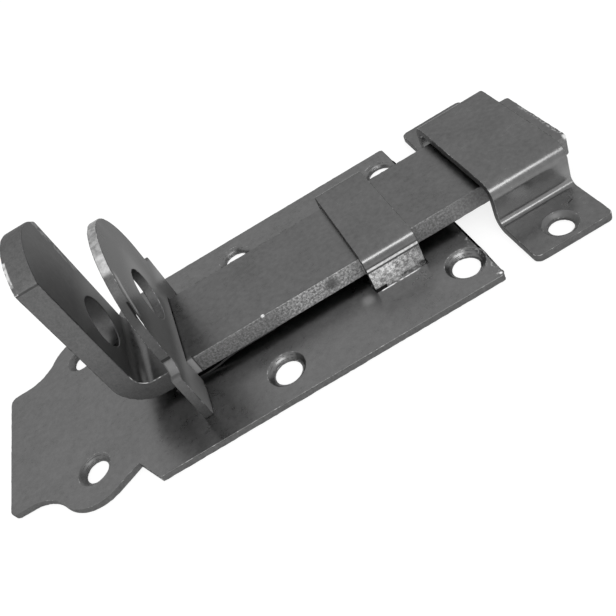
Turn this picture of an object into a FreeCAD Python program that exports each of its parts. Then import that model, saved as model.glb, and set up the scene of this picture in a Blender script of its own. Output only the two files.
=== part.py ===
import FreeCAD, Part
import math
import os

import Sketcher

# A zinc plated steel padbolt. A flat bolt slides on a base plate, through a fixed eye plate and
# under a guide strap, and a padlock goes through its turned-up end and the eye plate together.
# A separate bent keeper stands over the bolt's free end.
# X runs along the bolt, positive towards the keeper, and Z stands away from the mounting face.
# The origin is the middle of the base plate's back face. Lengths are millimetres.

os.makedirs("parts", exist_ok=True)
doc = FreeCAD.newDocument("padbolt")

# Driving dimensions: each has a name, a value and a note, and fills one row of the sheet.
SIZES = [
    ("plate_length", 98.0, "base plate, end to end"),
    ("plate_width", 52.0, "base plate, across its straight sides"),
    ("plate_gauge", 1.5, "base plate thickness"),
    ("straight_length", 68.0, "full-width part of the base plate"),
    ("shoulder_run", 3.4, "slanted shoulder, along the plate"),
    ("notch_half_width", 20.4, "notch behind the shoulder, from the centre line"),
    ("tail_half_width", 15.9, "narrow end, from the centre line"),
    ("tail_straight", 4.0, "straight side at the narrow end"),
    ("tail_corner", 1.6, "radius of the narrow end's corners"),
    ("ear_radius", 7.9, "rounded ear round a rear screw hole"),
    ("front_corner", 0.8, "radius of the front corners"),
    ("front_hole_inset", 3.8, "front screw holes, from the front end"),
    ("middle_hole_inset", 40.5, "middle screw holes, from the front end"),
    ("rear_hole_inset", 80.1, "rear screw holes, from the front end"),
    ("wide_hole_offset", 18.9, "front and middle screw holes, from the centre line"),
    ("rear_hole_offset", 15.9, "rear screw holes, from the centre line"),
    ("wide_hole_radius", 2.65, "front and middle screw holes"),
    ("rear_hole_radius", 2.3, "rear screw holes"),
    ("countersink_depth", 1.1, "base plate's countersinks"),
    ("bar_width", 20.0, "bolt, width of its flat bar"),
    ("bar_gauge", 4.2, "bolt, thickness of its flat bar"),
    ("bar_lift", 1.6, "gap between the base plate and the bolt"),
    ("bar_reach", 24.1, "bolt's tip, past the base plate's front end"),
    ("lug_inset", 69.6, "lug's outer face, from the base plate's front end"),
    ("lug_height", 38.3, "lug, above the base plate"),
    ("lug_crown", 15.5, "radius of the lug's rounded top"),
    ("lug_bend", 3.0, "inside radius of the bend below the lug"),
    ("tip_corner", 0.8, "radius of the bolt tip's corners"),
    ("eye_height", 15.9, "centre of the padlock eyes, above the base plate"),
    ("eye_radius", 5.3, "padlock eyes"),
    ("eye_plate_gauge", 1.8, "eye plate thickness"),
    ("eye_plate_inset", 55.6, "eye plate's front face, from the base plate's front end"),
    ("eye_plate_height", 31.9, "eye plate, above the base plate"),
    ("eye_plate_crown", 16.2, "radius of the eye plate's rounded head"),
    ("eye_plate_half_width", 19.5, "eye plate's feet, from the centre line"),
    ("eye_plate_shoulder", 11.4, "eye plate's shoulders, above the base plate"),
    ("shoulder_fillet", 2.2, "inside radius between head and shoulders"),
    ("shoulder_corner", 0.8, "radius of the shoulders' corners"),
    ("slide_clearance", 0.35, "running clearance over and beside the bolt"),
    ("tab_inset", 1.5, "how far a tab stands in from its foot, each side"),
    ("slot_clearance", 0.1, "clearance round a tab in its slot"),
    ("strap_inset", 8.9, "guide strap's front edge, from the base plate's front end"),
    ("strap_width", 10.6, "guide strap, along the bolt"),
    ("strap_gauge", 1.5, "guide strap thickness"),
    ("strap_half_width", 13.3, "guide strap's legs, from the centre line"),
    ("strap_bend", 1.0, "inside radius of the guide strap's bends"),
    ("strap_slot_play", 0.6, "play outside a strap leg in its slot"),
    ("spring_gauge", 0.5, "leaf spring thickness"),
    ("spring_margin", 0.5, "leaf spring's edges, in from the bolt's sides"),
    ("spring_foot", 6.5, "leaf spring, flat on the base plate"),
    ("spring_ramp", 8.5, "leaf spring, rising to the bolt"),
    ("spring_land", 7.0, "leaf spring, flat under the bolt"),
    ("spring_lead", 1.0, "leaf spring's foot, in front of the eye plate"),
    ("spring_clearance", 0.05, "gap between leaf spring and bolt"),
    ("keeper_inset", 5.6, "keeper's near edge, past the base plate's front end"),
    ("keeper_length", 15.0, "keeper, along the bolt"),
    ("keeper_gauge", 1.6, "keeper thickness"),
    ("keeper_half_width", 26.6, "keeper's flanges, from the centre line"),
    ("keeper_half_span", 15.1, "keeper's arch, from the centre line"),
    ("keeper_gap", 0.95, "gap between the bolt and the keeper's arch"),
    ("keeper_bend", 1.4, "inside radius of the keeper's bends"),
    ("keeper_corner", 1.2, "radius of the flanges' corners"),
    ("keeper_hole_offset", 22.4, "keeper screw holes, from the centre line"),
    ("keeper_hole_radius", 2.2, "keeper screw holes"),
    ("keeper_countersink", 0.9, "depth of the keeper's countersinks"),
]

sheet = doc.addObject("Spreadsheet::Sheet", "sizes")
for row, (alias, value, note) in enumerate(SIZES, start=1):
    sheet.set(f"A{row}", alias)
    sheet.set(f"B{row}", str(value))
    sheet.set(f"C{row}", note)
    sheet.setAlias(f"B{row}", alias)
doc.recompute()


def size(alias):
    """The value of one driving dimension."""
    return float(sheet.get(alias))


def polar(centre, radius, angle):
    """The point at an angle, in degrees, on a circle."""
    turn = math.radians(angle)
    return (centre[0] + radius * math.cos(turn), centre[1] + radius * math.sin(turn))


def heading(start, end):
    """The direction from one point to another, in degrees."""
    return math.degrees(math.atan2(end[1] - start[1], end[0] - start[0]))


class Outline:
    """A closed sketch on one of a body's origin planes."""

    def __init__(self, body, name, plane):
        self.sketch = body.newObject("Sketcher::SketchObject", name)
        for feature in body.Origin.OriginFeatures:
            if feature.Role == plane:
                self.sketch.AttachmentSupport = (feature, "")
        self.sketch.MapMode = "FlatFace"
        self.reached = None

    def add(self, edge):
        return self.sketch.addGeometry(edge, False)

    def start(self, point):
        """Begin a path at a point."""
        self.reached = point

    def line(self, point):
        """Carry the path straight on to a point."""
        self.add(Part.LineSegment(FreeCAD.Vector(*self.reached, 0), FreeCAD.Vector(*point, 0)))
        self.reached = point

    def arc(self, centre, radius, first, last):
        """Carry the path round a centre, from one angle to another, either way round."""
        circle = Part.Circle(FreeCAD.Vector(*centre, 0), FreeCAD.Vector(0, 0, 1), radius)
        low, high = sorted((math.radians(first), math.radians(last)))
        self.add(Part.ArcOfCircle(circle, low, high))
        self.reached = polar(centre, radius, last)

    def bind(self, kind, places, value, formula):
        """Add a dimension and tie it to a formula on the sheet."""
        index = self.sketch.addConstraint(Sketcher.Constraint(kind, *places, value))
        self.sketch.setExpression(f"Constraints[{index}]", formula)

    def hole(self, across, along, radius, formulas):
        """Add a round hole; the formulas tie its centre and its radius to the sheet."""
        centre = FreeCAD.Vector(across, along, 0)
        number = self.add(Part.Circle(centre, FreeCAD.Vector(0, 0, 1), radius))
        self.bind("DistanceX", (-1, 1, number, 3), across, formulas[0])
        self.bind("DistanceY", (-1, 1, number, 3), along, formulas[1])
        self.bind("Radius", (number,), radius, formulas[2])

    def box(self, low, high, formulas):
        """Add a rectangle; the formulas tie its two corners to the sheet."""
        corners = [low, (high[0], low[1]), high, (low[0], high[1])]
        sides = []
        for index, corner in enumerate(corners):
            self.start(corner)
            self.line(corners[(index + 1) % 4])
            sides.append(self.sketch.GeometryCount - 1)
        for index, side in enumerate(sides):
            self.sketch.addConstraint(Sketcher.Constraint("Coincident", side, 2, sides[(index + 1) % 4], 1))
            self.sketch.addConstraint(Sketcher.Constraint(("Horizontal", "Vertical")[index % 2], side))
        self.bind("DistanceX", (-1, 1, sides[0], 1), low[0], formulas[0])
        self.bind("DistanceY", (-1, 1, sides[0], 1), low[1], formulas[1])
        self.bind("DistanceX", (-1, 1, sides[2], 1), high[0], formulas[2])
        self.bind("DistanceY", (-1, 1, sides[2], 1), high[1], formulas[3])


def new_body(label):
    """Start a sub-part whose label names its file."""
    body = doc.addObject("PartDesign::Body", label)
    body.Label = label
    return body


def pad(body, name, outline, length, symmetric=False):
    """Pull an outline out to a length given as a formula on the sheet."""
    feature = body.newObject("PartDesign::Pad", name)
    feature.Profile = outline.sketch
    feature.setExpression("Length", length)
    feature.SideType = "Symmetric" if symmetric else "One side"
    doc.recompute()
    return feature


def pocket(body, name, outline, backwards=False):
    """Cut an outline right through the body, and check that it took something away."""
    before = body.Shape.Volume
    feature = body.newObject("PartDesign::Pocket", name)
    feature.Profile = outline.sketch
    feature.Type = "ThroughAll"
    feature.Reversed = backwards
    doc.recompute()
    if body.Shape.Volume >= before:
        raise RuntimeError(f"{name} cuts nothing")
    return feature


def edges_where(shape, test):
    """The names of the edges that a test picks."""
    return [f"Edge{number}" for number, edge in enumerate(shape.Edges, start=1) if test(edge)]


def is_upright(edge):
    """Whether an edge is straight and runs along Z."""
    return isinstance(edge.Curve, Part.Line) and abs(edge.tangentAt(edge.FirstParameter).z) > 0.999


def dress(body, kind, name, edges, measure, formula):
    """Chamfer or round some edges of the body by a formula on the sheet."""
    base = body.Tip
    feature = body.newObject(kind, name)
    feature.Base = (base, edges)
    feature.setExpression(measure, formula)
    doc.recompute()


def rims(shape, height, radius):
    """The names of the hole edges of one radius at one height."""
    def is_rim(edge):
        circle = edge.Curve
        if not isinstance(circle, Part.Circle):
            return False
        return abs(circle.Radius - radius) < 1e-4 and abs(circle.Center.z - height) < 1e-4
    return edges_where(shape, is_rim)


def countersink(body, name, height, radii, depth):
    """Countersink the holes of the given radii where they open at a height."""
    names = []
    for radius in sorted(set(radii)):
        names += rims(body.Shape, height, radius)
    dress(body, "PartDesign::Chamfer", name, names, "Size", depth)


# Places that several pieces share
front = size("plate_length") / 2
plate_top = size("plate_gauge")
bar_bottom = plate_top + size("bar_lift")
bar_top = bar_bottom + size("bar_gauge")
eye_level = plate_top + size("eye_height")
eye_plate_front = front - size("eye_plate_inset")
strap_front = front - size("strap_inset")
SIDES = (1, -1)
FRONT = "sizes.plate_length / 2"
EYE_LEVEL = "sizes.plate_gauge + sizes.eye_height"
WINDOW_HALF = "sizes.bar_width / 2 + sizes.slide_clearance"


# Base plate: stamped from sheet, with a rounded ear round each rear screw hole.
base_plate = new_body("base_plate")
plate_outline = Outline(base_plate, "plate_outline", "XY_Plane")
half_width = size("plate_width") / 2
corner = size("front_corner")
shoulder_x = front - size("straight_length")
notch = (shoulder_x - size("shoulder_run"), size("notch_half_width"))
ear = (front - size("rear_hole_inset"), size("rear_hole_offset"))
ear_radius = size("ear_radius")
tail_half = size("tail_half_width")
tail_corner = size("tail_corner")
# The hollow behind the ear is one arc, tangent to the straight tail side and to the ear.
hollow_x = -front + size("tail_straight")
run = ear[0] - hollow_x
rise = tail_half - ear[1]
hollow_radius = (run**2 + rise**2 - ear_radius**2) / (2 * (ear_radius - rise))
hollow = (hollow_x, tail_half + hollow_radius)
ear_end = heading(ear, hollow)
# The line from the notch touches the ear.
ear_start = heading(ear, notch) + math.degrees(math.acos(ear_radius / math.dist(ear, notch)))

for side in SIDES:
    plate_outline.start((front, 0))
    plate_outline.line((front, side * (half_width - corner)))
    plate_outline.arc((front - corner, side * (half_width - corner)), corner, 0, side * 90)
    plate_outline.line((shoulder_x, side * half_width))
    plate_outline.line((notch[0], side * notch[1]))
    centre = (ear[0], side * ear[1])
    plate_outline.line(polar(centre, ear_radius, side * ear_start))
    plate_outline.arc(centre, ear_radius, side * ear_start, side * ear_end)
    plate_outline.arc((hollow[0], side * hollow[1]), hollow_radius, side * (ear_end - 180), side * -90)
    plate_outline.line((-front + tail_corner, side * tail_half))
    centre = (-front + tail_corner, side * (tail_half - tail_corner))
    plate_outline.arc(centre, tail_corner, side * 90, side * 180)
    plate_outline.line((-front, 0))
pad(base_plate, "plate_pad", plate_outline, "sizes.plate_gauge")

plate_holes = Outline(base_plate, "plate_holes", "XY_Plane")
for place, offset, radius in (
    ("front_hole_inset", "wide_hole_offset", "wide_hole_radius"),
    ("middle_hole_inset", "wide_hole_offset", "wide_hole_radius"),
    ("rear_hole_inset", "rear_hole_offset", "rear_hole_radius"),
):
    for side in SIDES:
        formulas = (f"{FRONT} - sizes.{place}", f"{side} * sizes.{offset}", f"sizes.{radius}")
        plate_holes.hole(front - size(place), side * size(offset), size(radius), formulas)
pocket(base_plate, "plate_holes_cut", plate_holes, backwards=True)

plate_slots = Outline(base_plate, "plate_slots", "XY_Plane")
clear = size("slot_clearance")
window_half = size("bar_width") / 2 + size("slide_clearance")
tab_low = window_half + size("tab_inset")
tab_high = size("eye_plate_half_width") - size("tab_inset")
strap_inner = size("strap_half_width") - size("strap_gauge")
for side in SIDES:
    plate_slots.box(
        (eye_plate_front - size("eye_plate_gauge") - clear, side * (tab_low - clear)),
        (eye_plate_front + clear, side * (tab_high + clear)),
        (
            f"{FRONT} - sizes.eye_plate_inset - sizes.eye_plate_gauge - sizes.slot_clearance",
            f"{side} * ({WINDOW_HALF} + sizes.tab_inset - sizes.slot_clearance)",
            f"{FRONT} - sizes.eye_plate_inset + sizes.slot_clearance",
            f"{side} * (sizes.eye_plate_half_width - sizes.tab_inset + sizes.slot_clearance)",
        ),
    )
    plate_slots.box(
        (strap_front - size("strap_width") - clear, side * (strap_inner - clear)),
        (strap_front + clear, side * (size("strap_half_width") + size("strap_slot_play"))),
        (
            f"{FRONT} - sizes.strap_inset - sizes.strap_width - sizes.slot_clearance",
            f"{side} * (sizes.strap_half_width - sizes.strap_gauge - sizes.slot_clearance)",
            f"{FRONT} - sizes.strap_inset + sizes.slot_clearance",
            f"{side} * (sizes.strap_half_width + sizes.strap_slot_play)",
        ),
    )
pocket(base_plate, "plate_slots_cut", plate_slots, backwards=True)
radii = (size("wide_hole_radius"), size("rear_hole_radius"))
countersink(base_plate, "plate_countersinks", plate_top, radii, "sizes.countersink_depth")


# Bolt: flat bar, bent square up at its rear end into a lug with a padlock eye.
bolt = new_body("bolt")
bar_profile = Outline(bolt, "bar_profile", "XZ_Plane")
tip = front + size("bar_reach")
lug_rear = front - size("lug_inset")
lug_front = lug_rear + size("bar_gauge")
lug_top = plate_top + size("lug_height")
inner_bend = size("lug_bend")
outer_bend = inner_bend + size("bar_gauge")
bend_centre = (lug_rear + outer_bend, bar_bottom + outer_bend)
bar_profile.start((tip, bar_top))
bar_profile.line((bend_centre[0], bar_top))
bar_profile.arc(bend_centre, inner_bend, 270, 180)
bar_profile.line((lug_front, lug_top))
bar_profile.line((lug_rear, lug_top))
bar_profile.line((lug_rear, bend_centre[1]))
bar_profile.arc(bend_centre, outer_bend, 180, 270)
bar_profile.line((tip, bar_bottom))
bar_profile.line((tip, bar_top))
pad(bolt, "bar_pad", bar_profile, "sizes.bar_width", symmetric=True)

# The crown cut takes away what stands outside the lug's rounded top; it starts past the bar's sides.
crown_cut = Outline(bolt, "crown_cut", "YZ_Plane")
crown_centre = (0, lug_top - size("lug_crown"))
past_side = 1.0
reach = size("bar_width") / 2 + past_side
spread = math.degrees(math.acos(reach / size("lug_crown")))
crown_low = polar(crown_centre, size("lug_crown"), spread)
crown_cut.start(crown_low)
crown_cut.arc(crown_centre, size("lug_crown"), spread, 180 - spread)
crown_cut.line((-reach, lug_top + reach))
crown_cut.line((reach, lug_top + reach))
crown_cut.line(crown_low)
pocket(bolt, "crown_pocket", crown_cut)

lug_eye = Outline(bolt, "lug_eye", "YZ_Plane")
lug_eye.hole(0, eye_level, size("eye_radius"), ("0 mm", EYE_LEVEL, "sizes.eye_radius"))
pocket(bolt, "lug_eye_cut", lug_eye)


def is_tip_edge(edge):
    return is_upright(edge) and abs(edge.CenterOfMass.x - tip) < 1e-4


tip_edges = edges_where(bolt.Shape, is_tip_edge)
dress(bolt, "PartDesign::Fillet", "tip_corners", tip_edges, "Radius", "sizes.tip_corner")


# Eye plate: stamped from sheet, astride the bolt, its two tabs riveted over in the base plate.
eye_plate = new_body("eye_plate")
eye_plate_outline = Outline(eye_plate, "eye_plate_outline", "YZ_Plane")
head_radius = size("eye_plate_crown")
head_level = plate_top + size("eye_plate_height") - head_radius
foot_half = size("eye_plate_half_width")
shoulder_level = plate_top + size("eye_plate_shoulder")
fillet = size("shoulder_fillet")
round_off = size("shoulder_corner")
window_top = bar_top + size("slide_clearance")
for side in SIDES:
    eye_plate_outline.start((0, head_level + head_radius))
    eye_plate_outline.arc((0, head_level), head_radius, 90, 90 - side * 90)
    eye_plate_outline.line((side * head_radius, shoulder_level + fillet))
    centre = (side * (head_radius + fillet), shoulder_level + fillet)
    eye_plate_outline.arc(centre, fillet, 270 - side * 90, 270)
    eye_plate_outline.line((side * (foot_half - round_off), shoulder_level))
    centre = (side * (foot_half - round_off), shoulder_level - round_off)
    eye_plate_outline.arc(centre, round_off, 90, 90 - side * 90)
    eye_plate_outline.line((side * foot_half, plate_top))
    eye_plate_outline.line((side * tab_high, plate_top))
    eye_plate_outline.line((side * tab_high, 0))
    eye_plate_outline.line((side * tab_low, 0))
    eye_plate_outline.line((side * tab_low, plate_top))
    eye_plate_outline.line((side * window_half, plate_top))
    eye_plate_outline.line((side * window_half, window_top))
    eye_plate_outline.line((0, window_top))
pad(eye_plate, "eye_plate_pad", eye_plate_outline, "sizes.eye_plate_gauge")
plate_eye = Outline(eye_plate, "plate_eye", "YZ_Plane")
plate_eye.hole(0, eye_level, size("eye_radius"), ("0 mm", EYE_LEVEL, "sizes.eye_radius"))
pocket(eye_plate, "plate_eye_cut", plate_eye, backwards=True)
eye_plate.setExpression("Placement.Base.x", f"{FRONT} - sizes.eye_plate_inset - sizes.eye_plate_gauge")


# Guide strap: a bent strip over the bolt, its legs riveted over in two slots of the base plate.
guide_strap = new_body("guide_strap")
strap_outline = Outline(guide_strap, "strap_outline", "YZ_Plane")
strap_half = size("strap_half_width")
strap_under = bar_top + size("slide_clearance")
strap_inside = size("strap_bend")
strap_outside = strap_inside + size("strap_gauge")
for side in SIDES:
    centre = (side * (strap_half - strap_outside), strap_under + size("strap_gauge") - strap_outside)
    strap_outline.start((0, strap_under + size("strap_gauge")))
    strap_outline.line((centre[0], strap_under + size("strap_gauge")))
    strap_outline.arc(centre, strap_outside, 90, 90 - side * 90)
    strap_outline.line((side * strap_half, 0))
    strap_outline.line((side * strap_inner, 0))
    strap_outline.line((side * strap_inner, centre[1]))
    strap_outline.arc(centre, strap_inside, 90 - side * 90, 90)
    strap_outline.line((0, strap_under))
pad(guide_strap, "strap_pad", strap_outline, "sizes.strap_width")
guide_strap.setExpression("Placement.Base.x", f"{FRONT} - sizes.strap_inset - sizes.strap_width")


# Leaf spring: a strip that lies on the base plate between the eye plate's legs and rises
# to bear on the bolt from below. Its ramp is two equal arcs that bend opposite ways.
leaf_spring = new_body("leaf_spring")
spring_outline = Outline(leaf_spring, "spring_outline", "XZ_Plane")
spring_gauge = size("spring_gauge")
foot_front = eye_plate_front + size("spring_lead")
foot_rear = foot_front - size("spring_foot")
climb = size("bar_lift") - spring_gauge - size("spring_clearance")
ramp = size("spring_ramp")
both_radii = (ramp**2 + climb**2) / (2 * climb)
ramp_turn = math.degrees(math.asin(ramp / both_radii))
ramp_radius = (both_radii + spring_gauge) / 2
land_front = foot_front + ramp + size("spring_land")
low_centre = (foot_front, plate_top + ramp_radius)
high_centre = (foot_front + ramp, plate_top + climb + spring_gauge - ramp_radius)
lower_radius = ramp_radius
upper_radius = ramp_radius - spring_gauge
spring_outline.start((foot_rear, plate_top))
spring_outline.line((foot_front, plate_top))
spring_outline.arc(low_centre, lower_radius, 270, 270 + ramp_turn)
spring_outline.arc(high_centre, upper_radius, 90 + ramp_turn, 90)
spring_outline.line((land_front, plate_top + climb))
spring_outline.line((land_front, plate_top + climb + spring_gauge))
spring_outline.line((foot_front + ramp, plate_top + climb + spring_gauge))
spring_outline.arc(high_centre, lower_radius, 90, 90 + ramp_turn)
spring_outline.arc(low_centre, upper_radius, 270 + ramp_turn, 270)
spring_outline.line((foot_rear, plate_top + spring_gauge))
spring_outline.line((foot_rear, plate_top))
pad(leaf_spring, "spring_pad", spring_outline, "sizes.bar_width - 2 * sizes.spring_margin", symmetric=True)


# Keeper: a bent strip with an arch over the bolt's free end and a flange with a screw hole each side.
keeper = new_body("keeper")
keeper_outline = Outline(keeper, "keeper_outline", "YZ_Plane")
keeper_gauge = size("keeper_gauge")
arch_under = bar_top + size("keeper_gap")
arch_half = size("keeper_half_span")
arch_inner = arch_half - keeper_gauge
tight = size("keeper_bend")
wide = tight + keeper_gauge
flange_half = size("keeper_half_width")
for side in SIDES:
    crown = (side * (arch_inner - tight), arch_under - tight)
    root = (side * (arch_half + tight), keeper_gauge + tight)
    keeper_outline.start((0, arch_under + keeper_gauge))
    keeper_outline.line((crown[0], arch_under + keeper_gauge))
    keeper_outline.arc(crown, wide, 90, 90 - side * 90)
    keeper_outline.line((side * arch_half, root[1]))
    keeper_outline.arc(root, tight, 270 - side * 90, 270)
    keeper_outline.line((side * flange_half, keeper_gauge))
    keeper_outline.line((side * flange_half, 0))
    keeper_outline.line((root[0], 0))
    keeper_outline.arc(root, wide, 270, 270 - side * 90)
    keeper_outline.line((side * arch_inner, crown[1]))
    keeper_outline.arc(crown, tight, 90 - side * 90, 90)
    keeper_outline.line((0, arch_under))
pad(keeper, "keeper_pad", keeper_outline, "sizes.keeper_length")


def is_flange_corner(edge):
    return is_upright(edge) and abs(abs(edge.CenterOfMass.y) - flange_half) < 1e-4


flange_edges = edges_where(keeper.Shape, is_flange_corner)
dress(keeper, "PartDesign::Fillet", "keeper_corners", flange_edges, "Radius", "sizes.keeper_corner")
keeper_holes = Outline(keeper, "keeper_holes", "XY_Plane")
for side in SIDES:
    formulas = ("sizes.keeper_length / 2", f"{side} * sizes.keeper_hole_offset", "sizes.keeper_hole_radius")
    keeper_holes.hole(
        size("keeper_length") / 2, side * size("keeper_hole_offset"), size("keeper_hole_radius"), formulas
    )
pocket(keeper, "keeper_holes_cut", keeper_holes, backwards=True)
radii = (size("keeper_hole_radius"),)
countersink(keeper, "keeper_countersinks", keeper_gauge, radii, "sizes.keeper_countersink")
keeper.setExpression("Placement.Base.x", f"{FRONT} + sizes.keeper_inset")

doc.recompute()

# Every object must be sound before anything is written.
for item in doc.Objects:
    if "Invalid" in item.State or "Error" in item.State:
        raise RuntimeError(f"{item.Name} did not build: {item.State}")
for body in (base_plate, bolt, eye_plate, guide_strap, leaf_spring, keeper):
    if body.Shape.isNull() or not body.Shape.isValid() or len(body.Shape.Solids) != 1:
        raise RuntimeError(f"{body.Label} is not one sound solid")
    body.Shape.exportStep(f"parts/{body.Label}.step")
    box = body.Shape.BoundBox
    print(f"{body.Label}: volume {body.Shape.Volume:.1f}, X {box.XMin:.2f} to {box.XMax:.2f}, "
          f"Y {box.YMin:.2f} to {box.YMax:.2f}, Z {box.ZMin:.2f} to {box.ZMax:.2f}")
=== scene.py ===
import math

import bmesh
import bpy
import numpy as np
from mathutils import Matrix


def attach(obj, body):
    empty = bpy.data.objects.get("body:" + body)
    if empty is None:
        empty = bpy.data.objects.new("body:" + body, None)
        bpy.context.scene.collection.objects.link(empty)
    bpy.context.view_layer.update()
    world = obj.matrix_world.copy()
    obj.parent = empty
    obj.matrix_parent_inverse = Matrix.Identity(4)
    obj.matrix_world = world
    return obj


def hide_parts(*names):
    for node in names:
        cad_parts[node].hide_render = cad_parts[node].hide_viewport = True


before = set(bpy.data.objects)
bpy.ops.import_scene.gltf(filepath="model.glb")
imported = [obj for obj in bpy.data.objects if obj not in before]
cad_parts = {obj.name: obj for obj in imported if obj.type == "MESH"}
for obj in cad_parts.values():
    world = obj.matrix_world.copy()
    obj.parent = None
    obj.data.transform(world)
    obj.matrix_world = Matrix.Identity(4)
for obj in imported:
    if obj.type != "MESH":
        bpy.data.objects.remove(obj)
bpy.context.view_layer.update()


# The studio: a pale floor that the padbolt lies on, white all round it, and one softbox high in
# front for the bright lines along its bends. The camera stands close, at the right front, and is
# rolled so that the bolt climbs to the right.
camera = bpy.data.objects.new("camera", bpy.data.cameras.new("camera"))
camera.data.sensor_width = 36.0
camera.data.lens = 39.98
camera.data.clip_start = 0.005
camera.location = (0.0200, -0.10505, 0.08686)
camera.rotation_euler = (math.radians(44.07), math.radians(23.34), math.radians(-20.56))
bpy.context.scene.collection.objects.link(camera)
bpy.context.scene.camera = camera
bpy.context.scene.view_settings.view_transform = "Standard"


def softbox(name, place, target, size, radiance):
    """A rectangular area lamp at a place, turned to a target; its power is radiance times area times pi."""
    lamp = bpy.data.lights.new(name, "AREA")
    lamp.shape = "RECTANGLE"
    lamp.size, lamp.size_y = size
    lamp.energy = radiance * size[0] * size[1] * math.pi
    holder = bpy.data.objects.new(name, lamp)
    aim = np.subtract(target, place)
    turn = math.atan2(-aim[0], aim[1])
    holder.rotation_euler = (math.atan2(np.hypot(aim[0], aim[1]), -aim[2]), 0, turn)
    holder.location = place
    bpy.context.scene.collection.objects.link(holder)


softbox(
    "high_softbox", place=(0.06, -0.31, 0.305), target=(0.02, 0.0, 0.0), size=(0.36, 0.10), radiance=5.8
)

world = bpy.data.worlds.new("white_studio")
bpy.context.scene.world = world
world.use_nodes = True

reach = 1.5
gap_under_plate = 0.0001
floor_mesh = bpy.data.meshes.new("floor")
floor_corners = [(-reach, -reach, 0), (reach, -reach, 0), (reach, reach, 0), (-reach, reach, 0)]
floor_mesh.from_pydata(floor_corners, [], [(0, 1, 2, 3)])
floor = bpy.data.objects.new("floor", floor_mesh)
floor.location.z = -gap_under_plate
bpy.context.scene.collection.objects.link(floor)
floor_finish = bpy.data.materials.new("pale_floor")
floor_finish.use_nodes = True
floor_mesh.materials.append(floor_finish)


class Shade:
    """One output socket of a node. Sums and products of it add the Math nodes that they need."""

    def __init__(self, tree, socket):
        self.tree = tree
        self.socket = socket

    def node(self, kind, settings, sockets, output=0):
        """Add a node: its settings are set first, then the values or links of its sockets."""
        new = self.tree.nodes.new("ShaderNode" + kind)
        for name, value in settings.items():
            setattr(new, name, value)
        for key, value in sockets.items():
            if isinstance(value, Shade):
                self.tree.links.new(value.socket, new.inputs[key])
            else:
                new.inputs[key].default_value = value
        return Shade(self.tree, new.outputs[output])

    def math(self, operation, first, second=0.0):
        """The result of one Math node."""
        return self.node("Math", {"operation": operation}, {0: first, 1: second})

    def __add__(self, other):
        return self.math("ADD", self, other)

    def __sub__(self, other):
        return self.math("SUBTRACT", self, other)

    def __rsub__(self, other):
        return self.math("SUBTRACT", other, self)

    def __mul__(self, other):
        return self.math("MULTIPLY", self, other)

    __radd__ = __add__
    __rmul__ = __mul__

    def __abs__(self):
        return self.math("ABSOLUTE", self)

    def step(self, low, high):
        """0 below low and 1 above high, with a smooth rise between; high below low turns it round."""
        settings = {"interpolation_type": "SMOOTHSTEP"}
        if low < high:
            return self.node("MapRange", settings, {"Value": self, "From Min": low, "From Max": high})
        return 1.0 - self.step(high, low)

    def noise(self, per_metre, detail=2.0, rough=0.5):
        """Cloudy noise from 0 to 1 that repeats about so many times in a metre."""
        sockets = {"Vector": self, "Scale": per_metre, "Detail": detail, "Roughness": rough}
        return self.node("TexNoise", {}, sockets)

    def parts(self):
        """The three numbers of a place or a normal."""
        split = self.node("SeparateXYZ", {}, {"Vector": self})
        return [Shade(split.tree, socket) for socket in split.socket.node.outputs]

    def box(self, low, high, soft):
        """1 where the place lies between two corners, fading to 0 over the soft length outside them."""
        mask = 1.0
        for part, start, stop in zip(self.parts(), low, high):
            mask = mask * part.step(start - soft, start) * part.step(stop + soft, stop)
        return mask

    def spot(self, centre, radius, soft):
        """1 where the place is nearer to the centre than the radius, fading to 0 over the soft length."""
        away = self.node("VectorMath", {"operation": "DISTANCE"}, {0: self, 1: centre}, output="Value")
        return away.step(radius + soft, radius)

    def wear(self):
        """1 on the thin line along each worn edge, which worn_skin marks."""
        return self.node("Attribute", {"attribute_name": "wear"}, {}, output="Fac").step(0.3, 0.9)


def shade_start(material):
    """The material's tree, emptied to one output, and the place on the object as a Shade."""
    material.use_nodes = True
    tree = material.node_tree
    tree.nodes.clear()
    output = tree.nodes.new("ShaderNodeOutputMaterial")
    place = Shade(tree, tree.nodes.new("ShaderNodeTexCoord").outputs["Object"])
    return output, place


# The surroundings are white to the camera, and light the metal a little less than that.
background = world.node_tree.nodes["Background"]
background.inputs["Color"].default_value = (1, 1, 1, 1)
rays = world.node_tree.nodes.new("ShaderNodeLightPath")
to_camera = Shade(world.node_tree, rays.outputs["Is Camera Ray"])
strength_on_metal = 0.9
more_to_camera = 0.15
strength = strength_on_metal + to_camera * more_to_camera
world.node_tree.links.new(strength.socket, background.inputs["Strength"])


# The floor is matt and nearly white to the camera and in the metal, and keeps a faint shadow.
output, place = shade_start(floor_finish)
paper = place.node("BsdfDiffuse", {}, {"Color": (0.86, 0.86, 0.86, 1)})
glow = place.node("Emission", {}, {"Color": (1, 1, 1, 1), "Strength": 1.12})
seen = place.node("LightPath", {}, {}, output="Is Camera Ray")
mirrored = place.node("LightPath", {}, {}, output="Is Glossy Ray")
through = place.node("LightPath", {}, {}, output="Is Transmission Ray")
glow_share = 0.72
lit = place.node("MixShader", {}, {0: (seen + mirrored + through) * glow_share, 1: paper, 2: glow})
output.id_data.links.new(lit.socket, output.inputs["Surface"])


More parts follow.
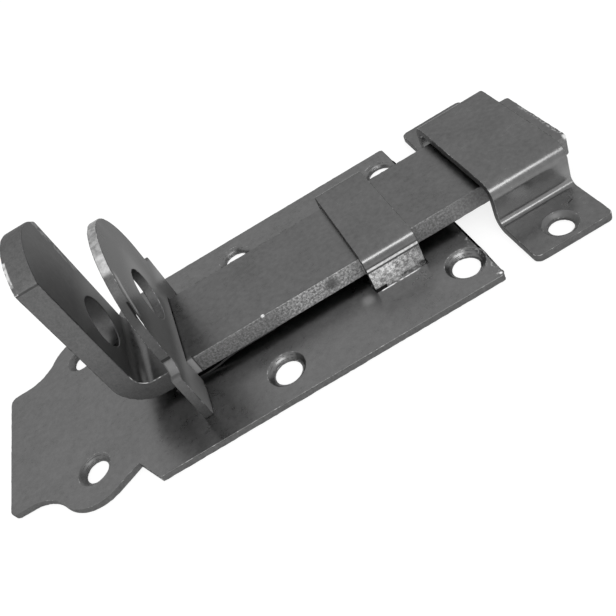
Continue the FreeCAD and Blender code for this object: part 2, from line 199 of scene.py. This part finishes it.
# Base plate: a stamping of 1.5 mm steel sheet, zinc plated, with six countersunk screw holes and
# four slots in which the eye plate and the guide strap are riveted over. Its sheared edges are
# rough and a little darker than its faces.
def worn_skin(node, name, rounding, ragged, seed, burrs=()):
    """A copy of a CAD solid's skin with its sharp edges rounded. Doubles are merged and flat faces
    joined, each edge sharper than the sharp angle gets a rounding of two faces, and the line of
    points between those two is cut at the spacing and shifted at random, inwards by up to the
    ragged length and outwards by a part of it. Each burr is a centre, a reach and a height: the
    line is pushed out by the height there, falling to nothing at the reach. Nothing is pushed
    below the base plate's back face."""
    double_distance = 2e-6
    flat_angle = math.radians(0.6)
    sharp_angle = math.radians(35)
    spacing = 0.0007
    inward, outward = 1.0, 0.35
    skin = bmesh.new()
    skin.from_mesh(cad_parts[node].data)
    bmesh.ops.remove_doubles(skin, verts=skin.verts, dist=double_distance)
    bmesh.ops.dissolve_limit(skin, angle_limit=flat_angle, verts=skin.verts, edges=skin.edges)
    sharp = [edge for edge in skin.edges if edge.is_manifold and edge.calc_face_angle() > sharp_angle]
    rounded = bmesh.ops.bevel(
        skin, geom=sharp, offset=rounding, offset_type="OFFSET", segments=2, profile=0.5,
        affect="EDGES", clamp_overlap=False,
    )
    strips = set(rounded["faces"])
    wear = skin.verts.layers.float.new("wear")
    for vert in skin.verts:
        vert[wear] = float(all(face in strips for face in vert.link_faces))
    ridge = [edge for edge in skin.edges if edge.verts[0][wear] == 1 and edge.verts[1][wear] == 1]
    by_cuts = {}
    for edge in ridge:
        by_cuts.setdefault(int(edge.calc_length() / spacing), []).append(edge)
    for cuts, edges in sorted(by_cuts.items()):
        if cuts:
            bmesh.ops.subdivide_edges(skin, edges=edges, cuts=cuts)
    shift = np.random.default_rng(seed)
    for vert in skin.verts:
        if vert[wear] == 1:
            push = float(shift.uniform(-inward, outward)) * ragged
            for centre, reach, height in burrs:
                away = math.dist(vert.co, centre)
                push += height * max(0.0, 1.0 - away / reach) ** 0.5
            vert.co += vert.normal * push
            vert.co.z = max(vert.co.z, 0.0)
    mesh = bpy.data.meshes.new(name)
    skin.to_mesh(mesh)
    skin.free()
    mesh.polygons.foreach_set("use_smooth", np.ones(len(mesh.polygons), bool))
    piece = bpy.data.objects.new(name, mesh)
    bpy.context.scene.collection.objects.link(piece)
    piece.modifiers.new("weighted_normals", "WEIGHTED_NORMAL")
    return piece


def zinc(name, sheared, raw=None, marks=None, tone=0.15, rough=0.30, edge_tone=0.13, bare=1.0):
    """Dull zinc plate on steel. sheared, raw and marks take the place and the surface normal's three
    parts. sheared gives a mask of the edges, which have their own tone and are rougher and grainy;
    raw a mask of surfaces that are bright and mostly matt; marks a list of masks, each with its own
    tone. The colour is the tone, plus clouds of 8 mm, mottling of 1 mm and fine grain; on the worn
    edges the bright metal shows through where patches of noise let it, by the share called bare."""
    worn_tone = 0.42
    raw_tone = 0.62
    bump_height = 0.000012
    material = bpy.data.materials.new(name)
    output, place = shade_start(material)
    normal = place.node("NewGeometry", {}, {}, output="Normal").parts()
    edge = sheared(place, *normal)
    clouds = place.noise(120, 3)
    mottle = place.noise(1000, 4, 0.6)
    grain = place.noise(7000, 2)
    grit = place.noise(2400, 4, 0.75)
    wear = place.wear()
    patches = place.noise(350, 2).step(0.42, 0.55) * place.noise(1300, 3, 0.6).step(0.48, 0.60)
    worn = wear * patches * bare
    shade = tone + (clouds - 0.5) * 0.05 + (mottle - 0.5) * 0.09 + (grain - 0.5) * 0.05
    shade = shade + edge * (edge_tone - tone + (grit - 0.5) * 0.12)
    rough = rough + (clouds - 0.5) * 0.10 + (mottle - 0.5) * 0.14 + edge * 0.25 + wear * 0.15
    shade = shade + worn * (worn_tone - shade)
    matt = worn * 0.5
    height = grain * 0.25 + mottle * 0.8 + edge * grit * 2.5
    if raw:
        open_metal = raw(place, *normal)
        shade = shade + open_metal * (raw_tone - shade)
        matt = matt + open_metal * 0.85
        height = height + open_metal * grit * 4.0
    for mask, mark_tone in marks(place, *normal) if marks else []:
        shade = shade + mask * (mark_tone - shade)
        matt = matt + mask * (0.9 - matt)
        rough = rough + mask * 0.2
    colour = place.node("CombineColor", {}, {0: shade, 1: shade, 2: shade})
    bump = place.node("Bump", {}, {"Height": height, "Strength": 1.0, "Distance": bump_height})
    metal = place.node(
        "BsdfPrincipled", {},
        {
            "Base Color": colour, "Metallic": 1.0 - matt, "Roughness": rough, "Normal": bump,
            "Specular Tint": (0.55, 0.55, 0.55, 1),
        },
    )
    output.id_data.links.new(metal.socket, output.inputs["Surface"])
    return material


def facing(part):
    """1 where the surface faces along the axis of this part of its normal, either way."""
    return abs(part).step(0.45, 0.75)


def toward(part):
    """1 where the surface faces the positive way along the axis of this part of its normal."""
    return part.step(0.75, 0.95)


def on_cone(z):
    """1 where the surface leans as a countersink's cone does."""
    return abs(z - 0.7).step(0.25, 0.15)


def off_flat(place, x, y, z):
    """1 where the surface doesn't face up or down."""
    return 1.0 - facing(z)


def solid_box(node):
    """The lowest and the highest corner of a CAD solid, from which its marks are placed."""
    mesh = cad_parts[node].data
    places = np.empty(3 * len(mesh.vertices), np.float32)
    mesh.vertices.foreach_get("co", places)
    places = places.reshape(-1, 3)
    return places.min(axis=0).tolist(), places.max(axis=0).tolist()


plate_low, plate_high = solid_box("base_plate")
plate_front = plate_high[0]
plate_top = plate_high[2]


def plate_marks(place, x, y, z):
    """A bright burr along the front side of the strap's near slot; dark broken rings, as a drill
    leaves, on the far walls of the countersinks, which are duller at the rear; bright specks along
    the front end and on its near corner; and a pale painted reflection of the strap's near leg."""
    along, across, up = place.parts()
    low, high = plate_top - 0.0003, plate_top + 0.0003
    burr = place.box((0.0302, -0.0143, low), (0.0385, -0.0139, high), 0.00008)
    cone = on_cone(z) * abs(across).step(0.0240, 0.0235)
    rings = up.noise(3800, 2).step(0.50, 0.56) * place.noise(1300, 2).step(0.44, 0.54)
    dull = cone * along.step(-0.020, -0.022)
    end = place.box((plate_front - 0.0012, -0.0255, low), (plate_front + 0.0002, -0.0120, high), 0.0004)
    specks = end * place.noise(1500, 3, 0.6).step(0.56, 0.66)
    corner = place.spot((plate_front - 0.0005, plate_low[1] + 0.0007, plate_top), 0.0001, 0.0003)
    # Painted reflection: a pale patch on the plate behind the strap's near leg, where the bright leg would
    # mirror.
    reflection_and_smudge = place.spot((0.0274, -0.0145, plate_top), 0.0004, 0.0015)
    return [
        (burr * place.noise(900, 2).step(0.30, 0.50), 0.95), (dull * 0.5, 0.10),
        (cone * y.step(-0.25, -0.50) * rings * 0.9, 0.03), (specks * 0.7, 0.40), (corner, 0.9),
        (reflection_and_smudge * 0.5, 0.35),
    ]


corner_burr = ((plate_front, plate_low[1] + 0.0004, 0.0010), 0.0012, 0.00025)
end_burr = ((plate_front, -0.0185, 0.0008), 0.0045, 0.00030)
plate_skin = worn_skin(
    "base_plate", "stamped_base_plate", rounding=0.00018, ragged=0.00006, seed=11,
    burrs=(corner_burr, end_burr),
)
plate_skin.data.materials.append(
    zinc("zinc_on_base_plate", off_flat, marks=plate_marks, tone=0.175, edge_tone=0.135)
)
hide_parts("base_plate")
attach(plate_skin, "mounting")


# Bolt: flat steel bar of 20 by 4.2 mm, bent square up at the rear into a lug with a padlock eye.
# Its two long sides are sheared and grainy, with bright specks in front of the eye plate. It
# slides over the base plate.
bar_gauge = 0.0042
bar_low, bar_high = solid_box("bolt")
lug_back, near_side, bar_under = bar_low
free_end, far_side, lug_top = bar_high
lug_front = lug_back + bar_gauge
bar_top = bar_under + bar_gauge
crown_foot = lug_top - 0.0048


def long_side(place, x, y, z):
    """1 where the surface faces across the bolt, and on the lug's crown."""
    crown = place.parts()[2].step(crown_foot, crown_foot + 0.0005) * (1.0 - facing(x))
    return crown + (1.0 - crown) * facing(y)


def mill_side(place, x, y, z):
    """Specks on the bolt's long sides in front of the eye plate: few at first, most from 15 mm to
    the guide strap but for a smudge at 23.5 mm, and fewer and fewer beyond the strap."""
    along = place.parts()[0]
    amount = along.step(-0.006, -0.005) * 0.45 + along.step(0.010, 0.017) * 0.48
    amount = amount - along.step(0.030, 0.042) * 0.48 - along.step(0.044, 0.054) * 0.30
    reflection_and_smudge = place.spot((0.0232, near_side, 0.0055), 0.0006, 0.0012)
    specks = place.noise(2100, 4, 0.75).step(0.38, 0.64)
    return facing(y) * amount * (1.0 - reflection_and_smudge * 0.75) * (0.18 + specks * 0.80)


def bar_marks(place, x, y, z):
    """A thin line across the near side where the shear began, with a burnished end behind it; a
    bright pip on the upper edge; a dark groove under the crown's near end; on the lug's front face
    painted shade above, painted light below, where the plating is made matt and shows lighter, and
    bright specks near the far edge; painted shade high in the padlock eye; torn metal and burrs
    along the crown's rear edge, burrs on the inner bend, and a ragged free end that is brightest at
    its near upper corner."""
    outside, inside = near_side - 0.0005, near_side + 0.0005
    shear_line = place.box((-0.00560, outside, bar_under), (-0.00545, inside, bar_top), 0.00008)
    burnish = place.box(
        (-0.0080, outside, bar_under + 0.0005), (-0.0058, inside, bar_top - 0.0003), 0.0004
    )
    pip = place.spot((0.0094, near_side + 0.0001, bar_top), 0.00025, 0.0002)
    groove = place.box(
        (lug_back - 0.0001, near_side - 0.0002, crown_foot + 0.0008),
        (lug_front + 0.0001, near_side + 0.0004, crown_foot + 0.0010), 0.0001,
    )
    torn = place.box(
        (lug_back - 0.0004, near_side + 0.0012, crown_foot + 0.0010),
        (lug_back + 0.0005, -0.0045, lug_top + 0.0002), 0.0002,
    )
    torn = torn * (1.0 - facing(x))
    face_behind, face_before = lug_front - 0.0006, lug_front + 0.0004
    # Painted shade: the upper part of the lug's front face is painted dark.
    shaded = place.box((face_behind, near_side, 0.0270), (face_before, far_side, lug_top), 0.0080)
    shaded = shaded * toward(x)
    # Painted light: the lower part of the lug's front face is made matt, so that it shows lighter.
    dull = place.box((face_behind, near_side, 0.0070), (face_before, far_side, 0.0180), 0.0060)
    dull = dull * toward(x)
    crown = place.box(
        (lug_back - 0.0004, near_side, crown_foot), (lug_back + 0.0006, far_side, lug_top), 0.0002
    )
    rim_behind = lug_front - 0.0004
    far_edge = place.box(
        (rim_behind, far_side - 0.0018, 0.0244), (face_before, far_side, 0.0370), 0.0006
    )
    bend = place.box(
        (rim_behind, near_side, bar_top - 0.0001), (-0.0100, near_side + 0.0004, 0.0108), 0.0003
    )
    tip = place.box(
        (free_end - 0.0005, near_side, bar_top - 0.0007), (free_end, 0.0050, bar_top), 0.0004
    )
    tip = tip * place.noise(1900, 3, 0.7).step(0.46, 0.62)
    near_half = place.parts()[1].step(-0.0020, -0.0070)
    tip_corner = place.spot(
        (free_end - 0.0003, near_side + 0.0002, bar_top - 0.0001), 0.0003, 0.0005
    )
    # Painted shade: the upper wall of the padlock eye is painted dark.
    bore_shade = place.box((lug_back, -0.0055, 0.0165), (lug_front, 0.0055, 0.0230), 0.0030)
    bore_shade = bore_shade * (1.0 - facing(x))
    patches = place.noise(900, 3, 0.6).step(0.42, 0.58)
    burrs = place.wear() * patches * (bend + crown)
    return [
        (shear_line, 0.01), (burnish * 0.8, 0.45), (pip, 0.9), (groove * 0.7, 0.03),
        (torn * (0.4 + patches * 0.6), 0.60), (burrs, 0.75), (shaded * 0.9, 0.02), (dull * 0.55, 0.12),
        (far_edge * patches * 0.35, 0.45), (tip * (0.5 + near_half * 0.5), 0.50),
        (tip_corner * 0.8, 0.90), (bore_shade * 0.7, 0.05),
    ]


pip_burr = ((0.0094, near_side, bar_top), 0.0007, 0.00020)
bar_skin = worn_skin(
    "bolt", "sliding_bolt_bar", rounding=0.00025, ragged=0.00008, seed=12, burrs=(pip_burr,)
)
bar_skin.data.materials.append(
    zinc("zinc_on_bolt", long_side, mill_side, bar_marks, edge_tone=0.155, bare=0.3)
)
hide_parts("bolt")
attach(bar_skin, "sliding_bolt")


# Eye plate: a stamping of steel sheet that stands across the bolt, with the padlock's fixed eye.
# Two tabs on its feet go through the base plate and are riveted over.
eye_low, eye_high = solid_box("eye_plate")
eye_back, eye_front = eye_low[0], eye_high[0]
eye_top = eye_high[2]
eye_centre = (eye_front, 0.0, 0.0174)


def off_broad(place, x, y, z):
    """1 where the surface doesn't face along the bolt."""
    return 1.0 - facing(x)


def torn_edge(place, x, y, z):
    """Bright torn metal along the top of the cut edge, brightest at its near end."""
    top = place.box((eye_back, -0.0086, 0.0308), (eye_front, 0.0100, eye_top), 0.0010)
    near = place.parts()[1].step(-0.0040, -0.0065)
    specks = place.noise(1100, 3, 0.6).step(0.30, 0.70)
    return off_broad(place, x, y, z) * top * (0.28 + specks * 0.40 + near * 0.28)


def eye_marks(place, x, y, z):
    """Below the torn metal a dark dent along the front of the cut edge, with a bright burr at its
    lower end, and darker plating down to the shoulders; a pale painted highlight on the front face
    beside the torn metal, where its rolled edge would catch the light, painted shade on that face's
    far side and painted light low on it; at the near shoulder a dark nick over a pale burr, and dull
    plating under both shoulders."""
    _, across, up = place.parts()
    rim = off_broad(place, x, y, z) * abs(across).step(0.0095, 0.0105)
    dark = up.step(0.0290, 0.0262) * 0.75 - up.step(0.0235, 0.0222) * 0.30
    dark = rim * dark * up.step(0.0150, 0.0156)
    dull = rim * abs(across).step(0.0145, 0.0155) * up.step(0.0100, 0.0108) * up.step(0.0147, 0.0143)
    dent = place.box((eye_front - 0.0003, -0.0146, 0.0243), (eye_front, -0.0131, 0.0268), 0.0002)
    speck = place.box((eye_front - 0.0006, -0.0154, 0.0228), (eye_front, -0.0144, 0.0246), 0.0002)
    speck = speck * place.wear()
    # Painted highlight: a pale streak along the rolled edge on the front face.
    rolled_edge_highlight = place.spot(eye_centre, 0.0149, 0.0005) - place.spot(eye_centre, 0.0138, 0.0005)
    beside = place.box((eye_front - 0.0004, -0.0135, 0.0245), (eye_front, -0.0090, 0.0300), 0.0015)
    rolled_edge_highlight = rolled_edge_highlight * beside
    nick = place.box((eye_back, -0.0172, 0.0149), (eye_front, -0.0160, 0.0154), 0.00015)
    burr = place.box((eye_back + 0.0004, -0.0180, 0.0128), (eye_front, -0.0160, 0.0145), 0.0003)
    face = toward(x)
    # Painted shade on the far side of the front face.
    far = face * across.step(0.0030, 0.0085) * up.step(0.0090, 0.0140)
    # Painted light: the front face is painted paler below about 27 mm except on its far side, and more so
    # below about 12 mm.
    pale = up.step(0.0270, 0.0180) * across.step(0.0120, 0.0050) * 0.30
    pale = pale + up.step(0.0125, 0.0085) * 0.28
    return [
        (dark, 0.03), (dull * 0.6, 0.10), (dent, 0.005), (speck, 0.9), (rolled_edge_highlight * 0.45, 0.50),
        (nick, 0.02), (burr * 0.2, 0.45), (far * 0.75, 0.06), (face * pale, 0.42),
    ]


eye_skin = worn_skin("eye_plate", "upright_eye_plate", rounding=0.00018, ragged=0.00008, seed=13)
eye_skin.data.materials.append(
    zinc("zinc_on_eye_plate", off_broad, torn_edge, eye_marks, tone=0.13, edge_tone=0.14)
)
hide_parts("eye_plate")
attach(eye_skin, "mounting")


# Guide strap: steel strip bent over the bolt, its two legs riveted over in the base plate's slots.
# The strip's cut edges face along the bolt.
strap_rear, strap_near, _ = solid_box("guide_strap")[0]


def strip_edge(place, x, y, z):
    """1 where the surface faces along the bolt."""
    return facing(x)


def leg_face(place, x, y, z):
    """Rough, bright specks on the strap's two upright legs, fewer toward the foot's front corner,
    with a painted highlight above them where each bend ends."""
    along, _, up = place.parts()
    fewer = 1.0 - (along.step(0.033, 0.041) * 0.35 + up.step(0.0050, 0.0020) * 0.25)
    patches = place.noise(500, 2).step(0.35, 0.65)
    specks = place.noise(1700, 4, 0.75).step(0.38, 0.64)
    # Painted highlight: a bright band along the lower end of each bend.
    line = up.step(0.0061, 0.0063) * up.step(0.0069, 0.0066)
    leg = up.step(0.0059, 0.0057) * fewer * (0.30 + patches * 0.40 + specks * 0.90)
    return abs(y).step(0.80, 0.95) * (leg + line * (1.0 + specks * 0.4))


def strap_marks(place, x, y, z):
    """Painted shade: the leg's foot in the open end of the near slot, painted nearly black."""
    # Painted shade in the near slot's open end, at the foot of the leg.
    slot_shade = place.box(
        (strap_rear, strap_near, 0.0),
        (strap_rear + 0.0023, strap_near + 0.0003, plate_top + 0.0001), 0.0001,
    )
    return [(slot_shade, 0.004)]


strap_skin = worn_skin("guide_strap", "bent_guide_strap", rounding=0.00015, ragged=0.00004, seed=14)
strap_skin.data.materials.append(zinc("zinc_on_strap", strip_edge, leg_face, strap_marks, rough=0.24))
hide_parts("guide_strap")
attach(strap_skin, "mounting")


# Leaf spring: a strip of spring steel under the bolt, which it rubs from below. Only its side
# shows, in the dark gap beside the eye plate.
spring_skin = worn_skin("leaf_spring", "thin_leaf_spring", rounding=0.00006, ragged=0.00001, seed=15)
spring_skin.data.materials.append(zinc("spring_steel_strip", long_side, tone=0.11, edge_tone=0.09))
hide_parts("leaf_spring")
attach(spring_skin, "mounting")


# Keeper: wider steel strip bent into an arch over the bolt's free end, with a countersunk screw
# hole in each flange. It is screwed down by itself, so it touches nothing else here.
keeper_low, keeper_high = solid_box("keeper")
keeper_half = keeper_high[1]
hole_along = (keeper_low[0] + keeper_high[0]) / 2
hole_across = keeper_half - 0.0042
hole_zone = 0.0031


def flange_edge(place, x, y, z):
    """1 where the surface faces along the bolt, and on the flanges' two cut ends."""
    end = abs(place.parts()[1]).step(keeper_half - 0.0016, keeper_half - 0.0010) * facing(y)
    side = strip_edge(place, x, y, z)
    return side + (1.0 - side) * end


def dull_and_painted_light_leg(place, x, y, z):
    """An even, weak mask on the keeper's two upright legs: duller plating, painted lighter, most low down.
    """
    _, across, up = place.parts()
    leg = abs(across).step(0.0180, 0.0170)
    # Painted light: the legs are painted a little lighter and matt, most low down.
    return leg * abs(y).step(0.60, 0.95) * (0.06 + up.step(0.0065, 0.0040) * 0.10)


def keeper_marks(place, x, y, z):
    """Dull plating in the two countersinks and painted shade in the screw holes under them; a slanting
    scratch beside the near hole; and bright metal on the corner of the near flange."""
    along, across, _ = place.parts()
    around = abs(abs(across) - hole_across).step(hole_zone + 0.0002, hole_zone)
    around = around * abs(along - hole_along).step(hole_zone + 0.0002, hole_zone)
    cone = around * on_cone(z)
    # Painted shade on the walls of the screw holes.
    hole_shade = around * abs(z).step(0.30, 0.15)
    scratch_along, scratch_across, slant = 0.0664, -0.01905, 0.4
    aside = abs(across - scratch_across - (along - scratch_along) * slant).step(0.00022, 0.00010)
    scratch = aside * abs(along - scratch_along).step(0.0007, 0.0005) * toward(z)
    corner = place.spot((keeper_high[0], 0.0011 - keeper_half, 0.0016), 0.0008, 0.0004)
    corner = corner * place.wear()
    return [(cone * 0.8, 0.12), (hole_shade * 0.8, 0.04), (scratch, 0.02), (corner, 0.75)]


keeper_skin = worn_skin("keeper", "arched_keeper", rounding=0.00018, ragged=0.00006, seed=16)
keeper_skin.data.materials.append(
    zinc("zinc_on_keeper", flange_edge, dull_and_painted_light_leg, keeper_marks, rough=0.24)
)
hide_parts("keeper")
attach(keeper_skin, "mounting")
